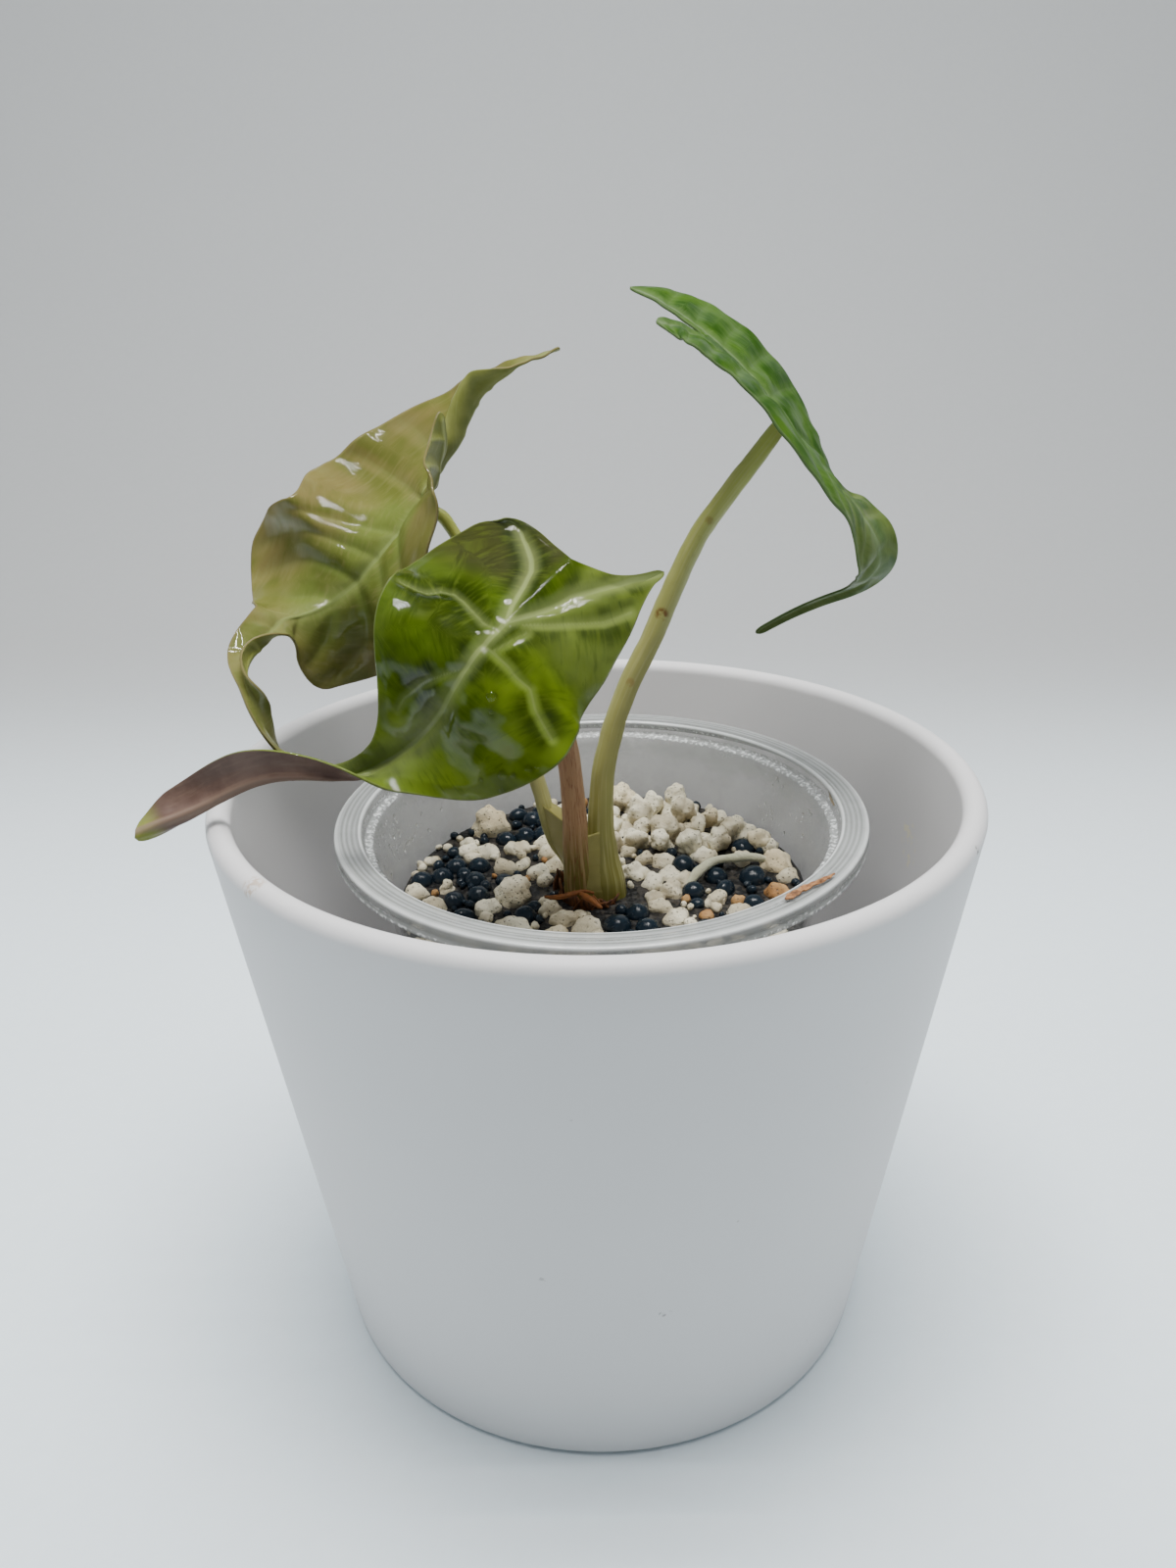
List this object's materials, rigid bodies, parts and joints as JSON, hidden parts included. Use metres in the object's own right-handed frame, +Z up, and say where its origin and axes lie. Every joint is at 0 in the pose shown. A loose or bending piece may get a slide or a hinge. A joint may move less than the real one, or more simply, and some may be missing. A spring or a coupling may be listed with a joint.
{
  "type": "potted plant",
  "caption": "Young alocasia with arrow-shaped leaves on slim stalks, growing from pumice in a clear cup that stands in a plain tapered white pot.",
  "frame": {"origin": "centre of the pot's flat base", "axes": "+Z up out of the pot, -Y towards the side the picture was taken from, +X to the right of that side"},
  "size_m": [0.1471, 0.14, 0.195],
  "materials": {
    "pot": "satin",
    "inner_cup": "satin",
    "substrate": "matte",
    "crown": "matte",
    "petiole_front": "satin",
    "petiole_back": "satin",
    "petiole_right": "satin",
    "blade_front": "gloss",
    "blade_back": "satin",
    "blade_right": "satin",
    "surface_root": "matte",
    "bark_splinter": "matte"
  },
  "bodies": {
    "root": {"pot": "pot", "inner_cup": "inner_cup", "substrate": "substrate", "crown": "crown", "petiole_front": "petiole_front", "petiole_back": "petiole_back", "petiole_right": "petiole_right", "blade_front": "blade_front", "blade_back": "blade_back", "blade_right": "blade_right", "surface_root": "surface_root", "bark_splinter": "bark_splinter"}
  },
  "joints": []
}
